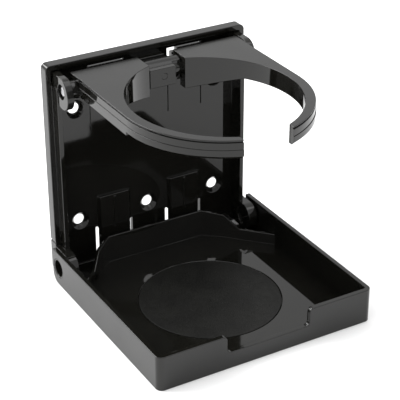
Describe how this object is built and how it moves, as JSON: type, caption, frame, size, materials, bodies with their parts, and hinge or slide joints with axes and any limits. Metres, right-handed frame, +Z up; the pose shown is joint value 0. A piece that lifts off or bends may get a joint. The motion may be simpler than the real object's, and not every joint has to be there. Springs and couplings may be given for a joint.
{
  "type": "folding drink holder",
  "caption": "Black fold-flat wall drink holder: a screw-on back plate, a fold-down two-arm ring and a fold-up tray with a round coaster.",
  "frame": {"origin": "on the wall face of the back plate, at the centre of its four-screw rectangle", "axes": "+X to the right seen from the front, -Y out from the wall towards the user, +Z up"},
  "size_m": [0.104, 0.1073, 0.1024],
  "materials": {
    "body_plastic": "moulded black plastic, mirror gloss inside, softer sheen outside",
    "coaster": "matte, fine pebbled texture",
    "pin": "black, smooth",
    "steel": "plain steel rod and push-on caps"
  },
  "bodies": {
    "plate": {"back_plate": "body_plastic", "ring_axle": "steel", "axle_cap_left": "steel", "axle_cap_right": "steel", "tray_pin_left": "pin", "tray_pin_right": "pin"},
    "ring_hub": {"pivot_sleeve": "body_plastic", "centre_block": "body_plastic"},
    "left_arm": {"arm_left": "body_plastic"},
    "right_arm": {"arm_right": "body_plastic"},
    "tray": {"tray": "body_plastic", "coaster_pad": "coaster"}
  },
  "joints": [
    {"name": "ring_fold", "type": "hinge", "parent": "plate", "child": "ring_hub", "pos_m": [0, -0.0136, 0.0428], "axis": [1, 0, 0], "range_deg": [0, 90]},
    {"name": "left_arm_slide", "type": "slide", "parent": "ring_hub", "child": "left_arm", "axis": [-1, 0, 0], "range_m": [0, 0.0012]},
    {"name": "right_arm_slide", "type": "slide", "parent": "ring_hub", "child": "right_arm", "axis": [1, 0, 0], "range_m": [0, 0.0006]},
    {"name": "tray_fold", "type": "hinge", "parent": "plate", "child": "tray", "pos_m": [0, -0.0135, -0.0421], "axis": [-1, 0, 0], "range_deg": [0, 50]}
  ]
}
